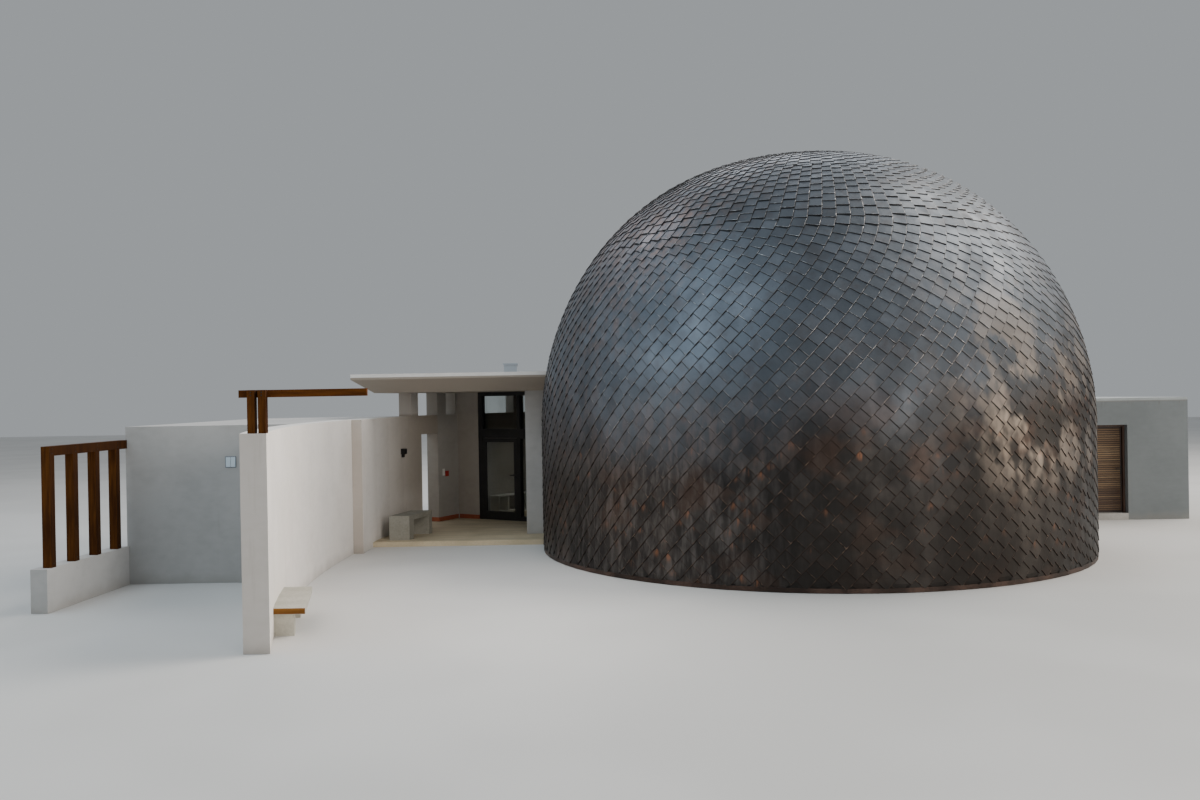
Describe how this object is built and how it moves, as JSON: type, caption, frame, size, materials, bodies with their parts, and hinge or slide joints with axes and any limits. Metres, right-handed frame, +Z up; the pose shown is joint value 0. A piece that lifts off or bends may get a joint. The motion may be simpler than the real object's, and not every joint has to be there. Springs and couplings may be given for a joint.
{
  "type": "domed hall with entrance lobby",
  "caption": "Round hall under an aged-copper shingled dome, with a white rendered porch and lobby, curved approach wall, service block and annex",
  "frame": {"origin": "On the dome's vertical axis, at the underside of its floor (ground level)", "axes": "+X to the right seen from the entrance side, +Y to the back, +Z up"},
  "size_m": [21.6301, 17.7497, 7.65],
  "materials": {
    "aged_copper": "aged copper shingles, brown and blue-grey patina",
    "white_render": "smooth warm-white mineral render",
    "concrete": "cast grey concrete",
    "white_board": "white coated board and sheet",
    "black_metal": "black coated metal profiles",
    "clear_glass": "clear glass",
    "dark_timber": "dark red-brown stained timber",
    "reed_panel": "horizontal reeds in a brown timber frame"
  },
  "bodies": {
    "building": {"dome_floor": "concrete", "drum_wall_1": "aged_copper", "drum_wall_2": "aged_copper", "drum_wall_3": "aged_copper", "drum_wall_4": "aged_copper", "drum_wall_5": "aged_copper", "drum_wall_6": "aged_copper", "drum_lintel": "aged_copper", "lower_shell_1": "aged_copper", "lower_shell_2": "aged_copper", "lower_shell_3": "aged_copper", "lower_shell_4": "aged_copper", "upper_shell_1": "aged_copper", "upper_shell_2": "aged_copper", "upper_shell_3": "aged_copper", "upper_shell_4": "aged_copper", "crown_cap": "aged_copper", "base_flashing": "aged_copper", "ring_approach_wall": "white_render", "passage_lintel": "white_render", "lobby_side_wall": "white_render", "lobby_ring_wall_1": "white_render", "lobby_ring_wall_2": "white_render", "lobby_end_wall": "white_render", "screen_stub_wall": "white_render", "dome_fin": "white_render", "hall_floor": "concrete", "porch_roof": "white_render", "lobby_roof": "white_render", "roof_vent": "white_board", "screen_frame": "black_metal", "screen_glass": "clear_glass", "shoe_bench": "white_board", "wall_lamp": "black_metal", "long_bench": "concrete", "low_bench": "concrete", "near_wall": "white_render", "pergola_post_1": "dark_timber", "pergola_post_2": "dark_timber", "pergola_beam": "dark_timber", "block_front_wall": "white_render", "block_side_wall": "white_render", "block_rear_wall": "white_render", "block_roof": "white_render", "screen_plinth": "white_render", "timber_screen": "dark_timber", "annex_front_left": "white_render", "annex_front_right": "white_render", "annex_lintel": "white_render", "annex_left_wall": "white_render", "annex_right_wall": "white_render", "annex_rear_wall": "white_render", "annex_roof": "white_render", "annex_floor": "concrete", "annex_door_frame": "dark_timber"},
    "entrance_leaf": {"entrance_door": "black_metal", "entrance_door_glass": "clear_glass"},
    "annex_leaf": {"annex_door": "reed_panel"}
  },
  "joints": [
    {"name": "entrance_hinge", "type": "hinge", "parent": "building", "child": "entrance_leaf", "pos_m": [-6.94277, 4.06887, 0.11], "axis": [0, 0, -1], "range_deg": [0, 90]},
    {"name": "annex_hinge", "type": "hinge", "parent": "building", "child": "annex_leaf", "pos_m": [7.028, 2.96, 0.156], "axis": [0, 0, 1], "range_deg": [0, 90]}
  ]
}
